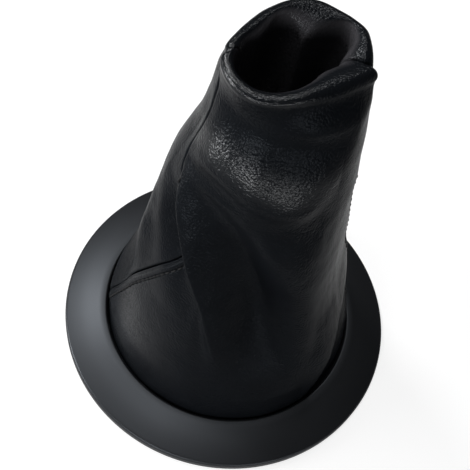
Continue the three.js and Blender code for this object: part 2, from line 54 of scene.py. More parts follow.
# Folds that run down the wall:
# height, angle, out, lean, width on the low-angle side, width on the high-angle side
FOLDS_DOWN = {
    "main_ridge": [
        (116, 208, 0, 0, 2.5, 6), (109, 214, 2, -0.6, 2.3, 6), (102, 224, 4.2, -2, 2.4, 6.5),
        (94, 234, 5.2, -2.8, 2.5, 7), (86, 242, 5.6, -3, 2.6, 7), (77, 250, 5.6, -2.8, 2.8, 7),
        (67, 258, 5.4, -2.2, 3, 7), (57, 263.5, 4.8, -1.6, 3.2, 7), (47, 268, 3.4, -0.8, 3.6, 7),
        (38, 271, 1.4, 0, 5, 7), (28, 272, 0, 0, 7, 8),
    ],
    "main_valley": [
        (113, 238, 0, 0, 8, 6), (107, 246, -3, 0, 10, 7), (99, 258, -6, 0, 12, 8),
        (90, 268.5, -8.2, 0, 13, 9), (80, 278.5, -9.4, 0, 14, 9), (68, 287.5, -9.6, 0, 14, 9),
        (56, 293, -8.2, 0, 14, 9), (44, 298, -5, 0, 14, 9), (32, 301, -2, 0, 14, 10),
        (20, 302, 0, 0, 12, 10),
    ],
    "column_edge": [
        (122, 262, 0, 0, 6, 9), (113, 274, 0.9, 0, 7, 10), (105, 284, 1.6, 0, 8, 11),
        (94, 292, 2, 0, 8, 12), (83, 299, 2.2, 0, 8, 12), (70, 305, 2, 0, 8, 12),
        (57, 308.5, 1.4, 0, 8, 12), (44, 310, 0, 0, 8, 12),
    ],
    "column": [
        (120, 296, 0, 0, 10, 14), (106, 304, 1.2, 0, 10, 14), (88, 312, 2.2, 0, 10, 14),
        (70, 318, 2.8, 0, 10, 14), (52, 320, 2.8, 0, 11, 13), (36, 318, 2, 0, 13, 12),
        (20, 314, 0.6, 0, 14, 12), (8, 312, 0, 0, 14, 12),
    ],
    "left_crease": [
        (98, 181, 0, 0, 5, 6), (88, 186, 0.6, 0, 5, 6), (76, 191, 2.3, 0, 4.6, 6),
        (66, 194.5, 3.8, 0, 4.6, 6), (56, 197, 3.2, 0, 4.8, 6), (46, 198, 1.5, 0, 5, 7),
        (34, 198, 0, 0, 5, 7),
    ],
    "left_hollow": [
        (64, 182, 0, 0, 6, 5), (52, 185, -1.4, 0, 7, 6), (40, 187, -2.2, 0, 8, 7),
        (28, 188, -1.6, 0, 8, 8), (16, 188, 0, 0, 8, 8),
    ],
    "left_bulge": [
        (50, 226, 0, 0, 10, 12), (38, 224, 1.6, 0, 14, 14), (26, 226, 2, 0, 16, 16),
        (18, 228, 1, 0, 16, 16), (11, 228, 0, 0, 16, 16),
    ],
}

# Folds that run round the wall: angle, height, out, sag, width below, width above
FOLDS_ROUND = {
    "shoulder": [
        (192, 118, 0, 0, 6, 7), (208, 122, 1.8, 0.3, 6, 9), (223, 124.5, 3.2, 0.5, 6, 10),
        (240, 125, 4, 0.6, 6, 10), (256, 124, 4.2, 0.6, 6, 10), (270, 122, 4.2, 0.6, 6, 10),
        (286, 120.5, 3.8, 0.5, 6, 10), (300, 120, 2.8, 0.4, 6, 10), (314, 122, 1.4, 0.2, 6, 9),
        (328, 125, 0, 0, 6, 8),
    ],
    "neck_hollow": [
        (212, 143, 0, 0, 5, 5), (236, 141.5, -1.4, 0, 6, 6), (262, 140.5, -2, 0, 6, 6),
        (290, 139.5, -2.4, 0, 7, 7), (316, 139.5, -2, 0, 7, 7), (342, 143, 0, 0, 6, 6),
    ],
    "pocket": [
        (190, 100, 0, 0, 6, 6), (202, 98, -2, 0, 7, 6), (212, 92, -4.2, 0, 8, 7),
        (222, 85, -5, 0, 8, 7), (232, 77, -3.8, 0, 7, 8), (242, 68, -1.6, 0, 6, 8),
        (252, 58, 0, 0, 6, 6),
    ],
    "under_shoulder": [
        (246, 111, 0, 0, 6, 5), (262, 110, -0.8, 0, 6, 6), (278, 107, -1.4, 0, 7, 6),
        (298, 105, -1, 0, 7, 6), (318, 106, 0, 0, 6, 6),
    ],
    "lower_edge": [
        (316, 13, 0, 0, 4, 8), (322, 19, 1.6, 0, 4, 9), (328, 28, 3, 0.6, 4, 10),
        (335, 38, 3.6, 1.2, 4, 10), (343, 47, 3.4, 1.4, 4, 10), (354, 54, 2.8, 1, 4.5, 10),
        (368, 59, 2, 0.6, 5, 9), (384, 63, 1, 0, 6, 8), (404, 66, 0, 0, 6, 8),
    ],
    "lower_recess": [
        (322, 6, 0, 0, 5, 5), (328, 11, -1.6, 0, 5, 6), (336, 19, -4, 0, 7, 7),
        (345, 27, -5.4, 0, 9, 8), (356, 33, -5, 0, 10, 9), (372, 38, -3.4, 0, 11, 9),
        (392, 42, -1.4, 0, 10, 9), (408, 44, 0, 0, 10, 9),
    ],
}

# Rim: angle, crest radius, half width of the roll, crest height
RIM = [
    (4, 19, 3.2, 156), (12, 18.2, 3, 155), (22, 18.8, 2.8, 156.4), (34, 20, 2.6, 157),
    (46, 21.4, 2.6, 156.8), (58, 21.5, 2.8, 156.5), (72, 21, 3.1, 156.6), (87, 20.9, 3.2, 156.9),
    (100, 20, 3, 157), (114, 18.4, 3, 156.8), (132, 16.6, 3, 156.6), (152, 15.6, 3, 156.4),
    (170, 16.4, 2.8, 156.2), (185, 18.2, 2.4, 155.6), (192, 18.6, 2, 155.2), (200, 20, 1.9, 155.8),
    (212, 20.6, 1.8, 155.6), (224, 20.8, 1.8, 155.4), (236, 20.4, 1.8, 155.2),
    (248, 19.2, 1.8, 155), (258, 17.8, 1.8, 155), (268, 16.4, 1.8, 155.2), (280, 14.8, 2, 155.6),
    (294, 13.4, 2.4, 156), (310, 12.8, 2.8, 156.4), (326, 13.2, 3.2, 156.6),
    (342, 14.6, 3.4, 156.6), (354, 16.8, 3.4, 156.4),
]

# Turned-in leather: angle about its own centre, radius at the rim, radius at its end
INSIDE_CENTRE = (-2, 3.5)
INSIDE = [
    (10, 13.5, 12.5), (20, 15.4, 14.5), (30, 18.2, 17), (40, 19.4, 18.2), (50, 19.2, 17.8),
    (56, 17.2, 15.8), (62, 13.6, 12), (68, 10.6, 9), (75, 9.2, 7.6), (83, 9.4, 7.4), (92, 10.6, 9),
    (104, 12, 12), (120, 12, 13.6), (145, 10.4, 13.2), (168, 10.6, 13), (190, 13.5, 13.5),
    (205, 16.2, 14.4), (220, 18.4, 15.4), (235, 18.8, 15.8), (250, 18.2, 15.6), (265, 16.8, 14.8),
    (280, 14.8, 13.6), (295, 12.8, 12.2), (310, 11, 11.2), (325, 9.6, 10.4), (340, 9.4, 10.2),
    (355, 10.6, 11),
]

# Seam lines: height, angle
LEFT_SEAM = [
    (3, 188), (10, 191), (18, 194), (32, 199.5), (42, 203.5), (52, 209.5), (64, 218.5), (73, 227),
    (80, 231.5), (86, 229), (92, 222), (98, 214.5), (104, 209), (109, 206), (114, 203.5),
    (122, 201), (132, 202), (140, 202), (150, 200), (156, 195),
]
RIGHT_SEAM = [
    (3, 20), (30, 19), (60, 16), (90, 14), (120, 14), (140, 15), (150, 14), (156, 12),
]

# Other sizes of the leather and the ring
WALL_START = 5.4
WALL_TOP = 143.0
RIM_HEIGHT = 156.0
RIM_MEAN_RADIUS = 20.0
ROLL_FALL_LEAST = 2
ROLL_FALL_MOST = 9
TURNED_IN_END = 113.0
LEATHER_THICKNESS = 1.2
MOST_SEAM_STRETCH = 1.6
RING_INNER = 52.2
HEM_START_RADIUS = RING_INNER + 1.1
HEM_START_HEIGHT = 4.05
HEM_WIDTH = 8.0
HEM_SLOPE = 0.165
FOOT_BEND_RADIUS = RING_INNER - 0.45
FOOT_BEND_HEIGHT = 4.15

# Fineness of the visible leather; the flesh side takes every fourth row and column,
# so the rows and the columns each number one more than a multiple of four
HEM_ROWS = 8
WALL_ROWS = 196
NECK_ROWS = 16
ROLL_ROWS = 32
DOWN_ROWS = 36
FLESH_STEP = 4
FRONT_MIDDLE_COLUMNS = 239
REAR_MIDDLE_COLUMNS = 143
SEAM_WIDTH = 7.0
SEAM_STEPS = np.linspace(0, SEAM_WIDTH, 29)
SEAM_OVERREACH = 0.02
FAR_FROM_SEAM = 99.0

# Height of the leather beside a seam: distance, height
SEAM_RELIEF = [
    (0, -0.9), (0.25, -0.35), (0.5, 0.02), (0.75, 0.05), (1.0, -0.22), (1.25, -0.05),
    (1.75, 0.38), (2.5, 0.46), (3.25, 0.2), (3.75, -0.1), (4.25, 0.06), (5.25, 0.08), (7.0, 0.0),
]
PLAIN_RELIEF = [(0, -0.9), (0.25, -0.3), (0.75, 0.08), (1.5, 0.12), (3.0, 0.04), (7.0, 0.0)]
SEAM_RELIEF_TOP = 112
SEAM_RELIEF_FADE = 12

# Crease under the rolled rim: depth, place on the neck, width below it, width above it
TUCK_DEPTH = 0.22
TUCK_PLACE = 0.9
TUCK_WIDTH_BELOW = 0.4
TUCK_WIDTH_ABOVE = 0.06

# Slow unevenness of the hide: height, steps per millimetre
HIDE_SWELL = (0.28, 0.075)
HIDE_RIPPLE = (0.10, 0.23)

# Stitches and their needle holes; a stitch is highest in its middle and fuller than a sine
STITCH_OFFSET = 3.8
STITCH_COLUMN = int(np.argmin(np.abs(SEAM_STEPS - STITCH_OFFSET)))
STITCH_PITCH = 3.3
STITCH_START = 8
STITCH_TOP = 110.0
STITCH_GAP = 0.12
STITCH_SINK = 0.35
STITCH_RISE = 0.62
STITCH_RINGS = 9
STITCH_SIDES = 8
STITCH_FULLNESS = 0.6
STITCH_AHEAD = 0.1
THREAD_RADIUS = 0.34
THREAD_END_SHARE = 0.62
HOLE_DEPTH = 0.45
HOLE_LENGTH = 0.55
HOLE_WIDTH = 0.8

# Place along the leather for the short creases across it: the turn is laid out at this radius
AROUND_RADIUS = 24.0

# How far the leather is creased across, on each kind of row
WRINKLES = {"neck": 0.3, "down": 1.0}
WRINKLES_ELSEWHERE = 0.12
BEAD_WRINKLES = 0.05
BEAD_WRINKLES_START = 0.5
BEAD_WRINKLES_RUN = 0.3

# Polish of the band under the neck, over the line of the shoulder
BAND_POLISH = 1.5
BAND_RISE = 4.5
BAND_WIDTH = 4.4
BAND_START_FADE = 14
BAND_END_FADE = 16

# Polish of the rim, stronger where it is handled
RIM_POLISH = 0.45
RIM_POLISH_START = 152.4
RIM_POLISH_FADE = 1.0
HANDLED_POLISH = 0.95
HANDLED_START = 178
HANDLED_START_FADE = 16
HANDLED_END = 300
HANDLED_END_FADE = 24

# Polish of the low bulge
BULGE_POLISH = 2.0
BULGE_ANGLE = 222
BULGE_ANGLE_WIDTH = 20
BULGE_HEIGHT = 32
BULGE_HEIGHT_WIDTH = 17


def between(a, b):
    """Signed angle from b to a."""
    return (a - b + 180.0) % 360.0 - 180.0


def curve(rows, place, column):
    """Smooth curve through given rows, at one place or an array of them."""
    p = np.array(rows, float)
    if p[0, 0] > p[-1, 0]:
        p = p[::-1]
    s, v = p[:, 0], p[:, column]
    m = np.empty(len(s))
    m[1:-1] = (v[2:] - v[:-2]) / (s[2:] - s[:-2])
    m[0] = (v[1] - v[0]) / (s[1] - s[0])
    m[-1] = (v[-1] - v[-2]) / (s[-1] - s[-2])
    x = np.clip(np.asarray(place, float), s[0], s[-1])
    i = np.clip(np.searchsorted(s, x, side="right") - 1, 0, len(s) - 2)
    h = s[i + 1] - s[i]
    t = (x - s[i]) / h
    return ((2 * t**3 - 3 * t**2 + 1) * v[i] + (t**3 - 2 * t**2 + t) * h * m[i]
            + (3 * t**2 - 2 * t**3) * v[i + 1] + (t**3 - t**2) * h * m[i + 1])


def closed(rows):
    """The rows of a full turn with two more at each end, so that the curve closes smoothly."""
    before = [(row[0] - 360,) + row[1:] for row in rows[-2:]]
    after = [(row[0] + 360,) + row[1:] for row in rows[:2]]
    return before + rows + after


RIM_ROUND = closed(RIM)
INSIDE_ROUND = closed(INSIDE)


def fold_share(across, rows, place):
    """Share of a fold at a distance across it: a bell with sides of different width."""
    width = np.where(across < 0, curve(rows, place, 4), curve(rows, place, 5))
    first, last = rows[0][0], rows[-1][0]
    inside = (place > min(first, last)) & (place < max(first, last))
    return np.exp(-(across / width) ** 2) * inside


def wall(theta, z):
    """Outer face of the sleeve between the ring and the neck."""
    theta, z = np.broadcast_arrays(np.asarray(theta, float), np.asarray(z, float))
    turn = np.radians(theta)
    mean = RING_INNER * curve(WALL, z, 1)
    per_degree = math.radians(1) * mean
    radius = mean + curve(WALL, z, 2) * np.cos(turn) + curve(WALL, z, 3) * np.sin(turn)
    lean = np.zeros(theta.shape)
    sag = np.zeros(theta.shape)
    for rows in FOLDS_DOWN.values():
        run = curve(rows, z + 0.5, 1) - curve(rows, z - 0.5, 1)
        across = between(theta, curve(rows, z, 1)) * per_degree / np.hypot(1, run * per_degree)
        share = fold_share(across, rows, z)
        radius = radius + curve(rows, z, 2) * share
        lean = lean + curve(rows, z, 3) * share
    for rows in FOLDS_ROUND.values():
        middle = 0.5 * (rows[0][0] + rows[-1][0])
        place = middle + between(theta, middle)
        run = curve(rows, place + 0.5, 1) - curve(rows, place - 0.5, 1)
        across = (z - curve(rows, place, 1)) / np.hypot(1, run / per_degree)
        share = fold_share(across, rows, place)
        radius = radius + curve(rows, place, 2) * share
        sag = sag + curve(rows, place, 3) * share
    moved = turn + lean / radius
    return np.stack([radius * np.cos(moved), radius * np.sin(moved), z - sag], -1)


def rim(theta, roll, down):
    """The rolled rim, roll 0 outside to 1 inside, then the turned-in leather, down 0 to 1."""
    theta, roll, down = np.broadcast_arrays(
        np.asarray(theta, float), np.asarray(roll, float), np.asarray(down, float))
    place = theta % 360
    turn = np.radians(theta)
    crest, half, top = (curve(RIM_ROUND, place, c) for c in (1, 2, 3))
    near, end = (curve(INSIDE_ROUND, place, c) for c in (1, 2))
    nx, ny = INSIDE_CENTRE[0] + near * np.cos(turn), INSIDE_CENTRE[1] + near * np.sin(turn)
    ex, ey = INSIDE_CENTRE[0] + end * np.cos(turn), INSIDE_CENTRE[1] + end * np.sin(turn)
    cx, cy = crest * np.cos(turn), crest * np.sin(turn)
    bend = roll * np.pi
    outer = np.stack([(crest + half * np.cos(bend)) * np.cos(turn),
                      (crest + half * np.cos(bend)) * np.sin(turn),
                      top - half + half * np.sin(bend)], -1)
    bend = (np.clip(roll, 0.5, 1) - 0.5) * np.pi
    fall = np.clip(np.hypot(nx - cx, ny - cy), ROLL_FALL_LEAST, ROLL_FALL_MOST)
    inner = np.stack([cx + (nx - cx) * np.sin(bend), cy + (ny - cy) * np.sin(bend),
                      top - fall + fall * np.cos(bend)], -1)
    last = np.stack([ex, ey, np.full(theta.shape, TURNED_IN_END)], -1)
    inner = inner + (last - inner) * down[..., None]
    return np.where((roll < 0.5)[..., None], outer, inner)


def neck(theta, rise):
    """From the wall's top to the rim, rise 0 to 1."""
    theta, rise = np.broadcast_arrays(np.asarray(theta, float), np.asarray(rise, float))
    low = wall(theta, np.full(theta.shape, WALL_TOP))
    under = wall(theta, np.full(theta.shape, WALL_TOP - 1))
    high = rim(theta, np.zeros(theta.shape), np.zeros(theta.shape))
    climb = high[..., 2:] - low[..., 2:]
    leaving = (low - under) * climb
    arriving = np.concatenate([np.zeros_like(climb), np.zeros_like(climb), climb], -1)
    t = rise[..., None]
    return ((2 * t**3 - 3 * t**2 + 1) * low + (t**3 - 2 * t**2 + t) * leaving
            + (3 * t**2 - 2 * t**3) * high + (t**3 - t**2) * arriving)


def hem(theta, outward):
    """The hem under the ring, outward 0 at the opening to 1 at its free edge."""
    turn = np.radians(theta)
    radius = HEM_START_RADIUS + HEM_WIDTH * outward
    height = HEM_START_HEIGHT - HEM_WIDTH * HEM_SLOPE * outward
    return np.stack([radius * np.cos(turn), radius * np.sin(turn), height], -1)


def foot_bend(theta):
    """Where the leather bends from the hem up into the wall."""
    turn = np.radians(theta)
    return np.stack([FOOT_BEND_RADIUS * np.cos(turn), FOOT_BEND_RADIUS * np.sin(turn),
                     np.full(turn.shape, FOOT_BEND_HEIGHT)], -1)


def make_rows():
    """Rows of the leather's face: kind, place on that kind, height used for the seam lines."""
    rise = RIM_HEIGHT - WALL_TOP
    rows = [("hem", s, WALL_START) for s in np.linspace(1, 0, HEM_ROWS)]
    rows.append(("bend", 0, WALL_START))
    rows += [("wall", z, z) for z in np.linspace(WALL_START, WALL_TOP, WALL_ROWS)]
    rows += [("neck", s, WALL_TOP + rise * s) for s in np.linspace(0, 1, NECK_ROWS + 1)[1:]]
    rows += [("roll", s, RIM_HEIGHT) for s in np.linspace(0, 1, ROLL_ROWS + 1)[1:]]
    rows += [("down", s, RIM_HEIGHT) for s in np.linspace(0, 1, DOWN_ROWS + 1)[1:]]
    return rows


ROWS = make_rows()


def row_points(row, theta):
    """Points of one row at an array of angles."""
    kind, place, _ = row
    places = np.full(theta.shape, float(place))
    if kind == "hem":
        return hem(theta, places)
    if kind == "bend":
        return foot_bend(theta)
    if kind == "wall":
        return wall(theta, places)
    if kind == "neck":
        return neck(theta, places)
    if kind == "roll":
        return rim(theta, places, np.zeros(theta.shape))
    return rim(theta, np.ones(theta.shape), places)


def beside(seam, height, distance):
    """Angle of a line at a distance from a seam, measured square to the seam."""
    mean = RIM_MEAN_RADIUS if height > WALL_TOP else RING_INNER * float(curve(WALL, height, 1))
    per_degree = math.radians(1) * mean
    run = float(curve(seam, height + 1, 1) - curve(seam, height - 1, 1)) / 2
    stretch = min(math.hypot(1, run * per_degree), MOST_SEAM_STRETCH)
    return float(curve(seam, height, 1)) + distance * stretch / per_degree


def grid_normals(points):
    """Outward normals of a grid of points."""
    along = np.gradient(points, axis=1)
    up = np.gradient(points, axis=0)
    n = np.cross(along, up)
    return n / np.maximum(np.linalg.norm(n, axis=-1, keepdims=True), 1e-9)


def path_length(points):
    """Length along each column from the first row."""
    step = np.linalg.norm(np.diff(points, axis=0), axis=-1)
    return np.vstack([np.zeros(points.shape[1]), np.cumsum(step, axis=0)])


def panel_places(from_seam, to_seam, to_turn, middle):
    """Angle of each point of a panel, and its distance from the nearer seam."""
    theta, distance = [], []
    for _, _, height in ROWS:
        start = beside(from_seam, height, SEAM_STEPS - SEAM_OVERREACH)
        stop = beside(to_seam, height, -SEAM_STEPS[::-1] + SEAM_OVERREACH) + to_turn
        inner = np.linspace(start[-1], stop[0], middle + 2)[1:-1]
        theta.append(np.concatenate([start, inner, stop]))
        far = np.full(middle, FAR_FROM_SEAM)
        distance.append(np.concatenate([SEAM_STEPS, far, SEAM_STEPS[::-1]]))
    return np.array(theta), np.array(distance)


def needle_holes(distance, length, side):
    """Dimples of the needle holes along one side of a panel, 0 to 1."""
    count = distance.shape[1]
    columns = np.arange(count)
    if side == "from":
        column, on_side = STITCH_COLUMN, columns < count / 2
    else:
        column, on_side = count - 1 - STITCH_COLUMN, columns >= count / 2
    phase = (length[:, column:column + 1] / STITCH_PITCH) % 1.0
    hole = np.exp(-((np.minimum(phase, 1 - phase) * STITCH_PITCH) / HOLE_LENGTH) ** 2)
    return np.where(on_side, hole * np.exp(-((distance - STITCH_OFFSET) / HOLE_WIDTH) ** 2), 0)


def panel_relief(plain, distance, length, stitched):
    """Height of the leather over its plain form: seams, needle holes, rim crease and the hide."""
    heights = np.array([height for _, _, height in ROWS])[:, None]
    clear = np.clip((SEAM_RELIEF_TOP - heights) / SEAM_RELIEF_FADE, 0, 1)
    places = np.array([place if kind == "neck" else 0 for kind, place, _ in ROWS])[:, None]
    tuck_width = np.where(places < TUCK_PLACE, TUCK_WIDTH_BELOW, TUCK_WIDTH_ABOVE)
    tuck = -TUCK_DEPTH * np.exp(-((places - TUCK_PLACE) / tuck_width) ** 2) * (places > 0)
    from_side = np.arange(distance.shape[1])[None, :] < distance.shape[1] / 2
    sewn = np.where(from_side, "from" in stitched, "to" in stitched)
    near_seam = np.minimum(distance, SEAM_WIDTH)
    unsewn = curve(PLAIN_RELIEF, near_seam, 1)
    relief = np.where(sewn, curve(SEAM_RELIEF, near_seam, 1) * clear + unsewn * (1 - clear), unsewn)
    relief = np.where(distance > SEAM_WIDTH, 0, relief)
    pulled = sum(needle_holes(distance, length, side) for side in stitched)
    relief = relief - HOLE_DEPTH * pulled * clear + tuck
    flat = np.array([kind in ("hem", "bend") for kind, _, _ in ROWS])
    relief[flat] = 0
    for i, j in np.ndindex(relief.shape):
        if not flat[i]:
            p = plain[i, j]
            relief[i, j] += (HIDE_SWELL[0] * noise.noise(Vector(p * HIDE_SWELL[1]))
                             + HIDE_RIPPLE[0] * noise.noise(Vector(p * HIDE_RIPPLE[1])))
    return relief


def panel_faces(rows, cols, rows2, cols2):
    """Quads of the fine face, then those of the coarse flesh side, then the cut edges between."""
    base = rows * cols
    i, j = np.meshgrid(np.arange(rows - 1), np.arange(cols - 1), indexing="ij")
    a = (i * cols + j).ravel()
    quads = np.stack([a, a + 1, a + 1 + cols, a + cols], -1)
    i, j = np.meshgrid(np.arange(rows2 - 1), np.arange(cols2 - 1), indexing="ij")
    b = (base + i * cols2 + j).ravel()
    quads2 = np.stack([b, b + cols2, b + cols2 + 1, b + 1], -1)
    faces = quads.tolist() + quads2.tolist()
    steps = range(FLESH_STEP + 1)
    for k in range(cols2 - 1):
        low = [FLESH_STEP * k + n for n in steps]
        faces.append(low[::-1] + [base + k, base + k + 1])
        top = [(rows - 1) * cols + n for n in low]
        under = base + (rows2 - 1) * cols2 + k
        faces.append(top + [under + 1, under])
    for k in range(rows2 - 1):
        left = [(FLESH_STEP * k + n) * cols for n in steps]
        under = base + k * cols2
        faces.append(left + [under + cols2, under])
        right = [n + cols - 1 for n in left]
        faces.append(right[::-1] + [under + cols2 - 1, under + 2 * cols2 - 1])
    return faces


def new_object(name, verts, faces):
    """A smooth mesh object in the scene, from points in millimetres."""
    mesh = bpy.data.meshes.new(name)
    mesh.from_pydata((np.asarray(verts) * MM).tolist(), [], faces)
    mesh.polygons.foreach_set("use_smooth", np.ones(len(mesh.polygons), bool))
    mesh.update()
    obj = bpy.data.objects.new(name, mesh)
    bpy.context.scene.collection.objects.link(obj)
    return obj


def add_values(mesh, name, values):
    """A named number at each point of the face; the flesh side's points have 0."""
    full = np.zeros(len(mesh.vertices))
    full[:values.size] = values.ravel()
    mesh.attributes.new(name, "FLOAT", "POINT").data.foreach_set("value", full)


def panel(name, from_seam, to_seam, to_turn, middle, stitched):
    """One leather panel: fine face, coarser flesh side and cut edges, as one closed mesh."""
    theta, distance = panel_places(from_seam, to_seam, to_turn, middle)
    plain = np.stack([row_points(row, theta[i]) for i, row in enumerate(ROWS)])
    length = path_length(plain)
    relief = panel_relief(plain, distance, length, stitched)
    face = plain + grid_normals(plain) * relief[..., None]
    normal = grid_normals(face)
    flesh = (face - normal * LEATHER_THICKNESS)[::FLESH_STEP, ::FLESH_STEP]
    rows, cols = face.shape[:2]
    faces = panel_faces(rows, cols, *flesh.shape[:2])
    obj = new_object(name, np.concatenate([face.reshape(-1, 3), flesh.reshape(-1, 3)]), faces)
    mesh = obj.data
    # the leather's face has the first material, its flesh side and cut edges the second
    slots = np.ones(len(faces), int)
    slots[:(rows - 1) * (cols - 1)] = 0
    mesh.polygons.foreach_set("material_index", slots)
    add_values(mesh, "polish", polish(theta % 360, face[..., 2]))
    # the wrinkle share also masks the painted light on the leather turned in under the rim
    add_values(mesh, "wrinkle", np.repeat([wrinkled_share(row) for row in ROWS], cols))
    around = np.zeros((len(mesh.vertices), 3))
    around[:rows * cols, 0] = (np.radians(theta) * AROUND_RADIUS * MM).ravel()
    around[:rows * cols, 1] = (length * MM).ravel()
    layer = mesh.attributes.new("around", "FLOAT_VECTOR", "POINT")
    layer.data.foreach_set("vector", around.ravel())
    mesh.update()
    return obj, face, normal, length


def wrinkled_share(row):
    """How far the leather is creased across: inside the rim most, on the bead's outside least."""
    kind, place, _ = row
    if kind == "roll":
        inward = min(max((place - BEAD_WRINKLES_START) / BEAD_WRINKLES_RUN, 0), 1)
        return BEAD_WRINKLES + (1 - BEAD_WRINKLES) * inward
    return WRINKLES.get(kind, WRINKLES_ELSEWHERE)


def polish(theta, z):
    """How far handling has polished the leather: over 1 is shinier than a usual polish."""
    rows = FOLDS_ROUND["shoulder"]
    first, last = rows[0][0], rows[-1][0]
    middle = 0.5 * (first + last)
    place = middle + between(theta, middle)
    across = z - curve(rows, place, 1) - BAND_RISE
    inside = (np.clip((place - first) / BAND_START_FADE, 0, 1)
              * np.clip((last - place) / BAND_END_FADE, 0, 1))
    band = BAND_POLISH * np.exp(-(across / BAND_WIDTH) ** 2) * inside
    started = between(theta, HANDLED_START) + HANDLED_START_FADE / 2
    handled = (np.clip(started / HANDLED_START_FADE, 0, 1)
               * np.clip((HANDLED_END - theta) / HANDLED_END_FADE, 0, 1))
    rim_share = ((RIM_POLISH + HANDLED_POLISH * handled)
                 * np.clip((z - RIM_POLISH_START) / RIM_POLISH_FADE, 0, 1))
    bulge = BULGE_POLISH * np.exp(-(between(theta, BULGE_ANGLE) / BULGE_ANGLE_WIDTH) ** 2
                                  - ((z - BULGE_HEIGHT) / BULGE_HEIGHT_WIDTH) ** 2)
    return np.maximum(np.maximum(band, rim_share), bulge)


# Leather
front, front_face, front_normal, front_length = panel(
    "front_leather", LEFT_SEAM, RIGHT_SEAM, 360, FRONT_MIDDLE_COLUMNS, ("from", "to"))
rear, *_ = panel("rear_leather", RIGHT_SEAM, LEFT_SEAM, 0, REAR_MIDDLE_COLUMNS, ())


def stitches(name, face, normal, length, column):
    """Single stitches of one seam, each a short thread that dips into its needle holes."""
    sewn = [kind == "wall" and STITCH_START < place < STITCH_TOP for kind, place, _ in ROWS]
    ids = np.where(sewn)[0]
    s = length[ids, column]
    first, last = math.ceil(s[0] / STITCH_PITCH), math.floor(s[-1] / STITCH_PITCH)

    def at(value, grid):
        return np.array([np.interp(value, s, grid[ids, column, c]) for c in range(3)])

    verts, faces = [], []
    for k in range(first, last):
        start, stop = k * STITCH_PITCH + STITCH_GAP, (k + 1) * STITCH_PITCH - STITCH_GAP
        base = len(verts)
        for r in range(STITCH_RINGS):
            u = r / (STITCH_RINGS - 1)
            here = start + (stop - start) * u
            p, n = at(here, face), at(here, normal)
            ahead = at(here + STITCH_AHEAD, face) - p
            along = ahead / np.linalg.norm(ahead)
            side = np.cross(n, along)
            arch = math.sin(math.pi * u)
            lift = -STITCH_SINK + STITCH_RISE * arch ** STITCH_FULLNESS
            radius = THREAD_RADIUS * (THREAD_END_SHARE + (1 - THREAD_END_SHARE) * arch)
            for q in range(STITCH_SIDES):
                t = 2 * math.pi * q / STITCH_SIDES
                verts.append(p + n * (lift + radius * math.sin(t)) + side * radius * math.cos(t))
        for r in range(STITCH_RINGS - 1):
            for q in range(STITCH_SIDES):
                a = base + r * STITCH_SIDES + q
                b = base + r * STITCH_SIDES + (q + 1) % STITCH_SIDES
                faces.append((a, b, b + STITCH_SIDES, a + STITCH_SIDES))
        end = base + (STITCH_RINGS - 1) * STITCH_SIDES
        faces.append(tuple(base + q for q in reversed(range(STITCH_SIDES))))
        faces.append(tuple(end + q for q in range(STITCH_SIDES)))
    return new_object(name, verts, faces)


left_stitches = stitches("left_seam_stitches", front_face, front_normal, front_length,
                         STITCH_COLUMN)
right_stitches = stitches("right_seam_stitches", front_face, front_normal, front_length,
                          front_face.shape[1] - 1 - STITCH_COLUMN)


# Bezel ring: a finely turned copy of the moulded shell. Radius, height, rounding of each corner
RING_SECTION = [
    (70, 0, 0.25), (70, 2.9, 0.5), (69.4, 3.75, 0.6), (62, 5.75, 3.0), (55.2, 7.1, 1.6),
    (52.9, 7.25, 0.8), (52.2, 6.3, 0.4), (52.2, 4.5, 0.3), (53.5, 4.5, 0.4), (61.5, 3.2, 2.0),
    (67.0, 1.75, 0.5), (67.6, 1.2, 0.4), (67.6, 0, 0.25),
]
CORNER_STEPS = 7
MOST_ROUNDED_SHARE = 0.45
RING_STEPS = 288


def smooth_section(corners):
    """Points of a closed section with its corners rounded."""
    out = []
    for k, (*corner, rounding) in enumerate(corners):
        p = np.array(corner, float)
        da = np.array(corners[k - 1][:2], float) - p
        db = np.array(corners[(k + 1) % len(corners)][:2], float) - p
        la, lb = np.linalg.norm(da), np.linalg.norm(db)
        cut = min(rounding, MOST_ROUNDED_SHARE * la, MOST_ROUNDED_SHARE * lb)
        pa, pb = p + da / la * cut, p + db / lb * cut
        for t in np.linspace(0, 1, CORNER_STEPS):
            out.append((1 - t) ** 2 * pa + 2 * t * (1 - t) * p + t * t * pb)
    return out


def turned_ring(name, section):
    """A section turned about the Z axis."""
    verts, faces = [], []
    count = len(section)
    for k in range(RING_STEPS):
        t = 2 * math.pi * k / RING_STEPS
        verts += [(r * math.cos(t), r * math.sin(t), z) for r, z in section]
        n = (k + 1) % RING_STEPS
        for q in range(count):
            w = (q + 1) % count
            faces.append((k * count + q, n * count + q, n * count + w, k * count + w))
    return new_object(name, verts, faces)


ring = turned_ring("moulded_ring", smooth_section(RING_SECTION))


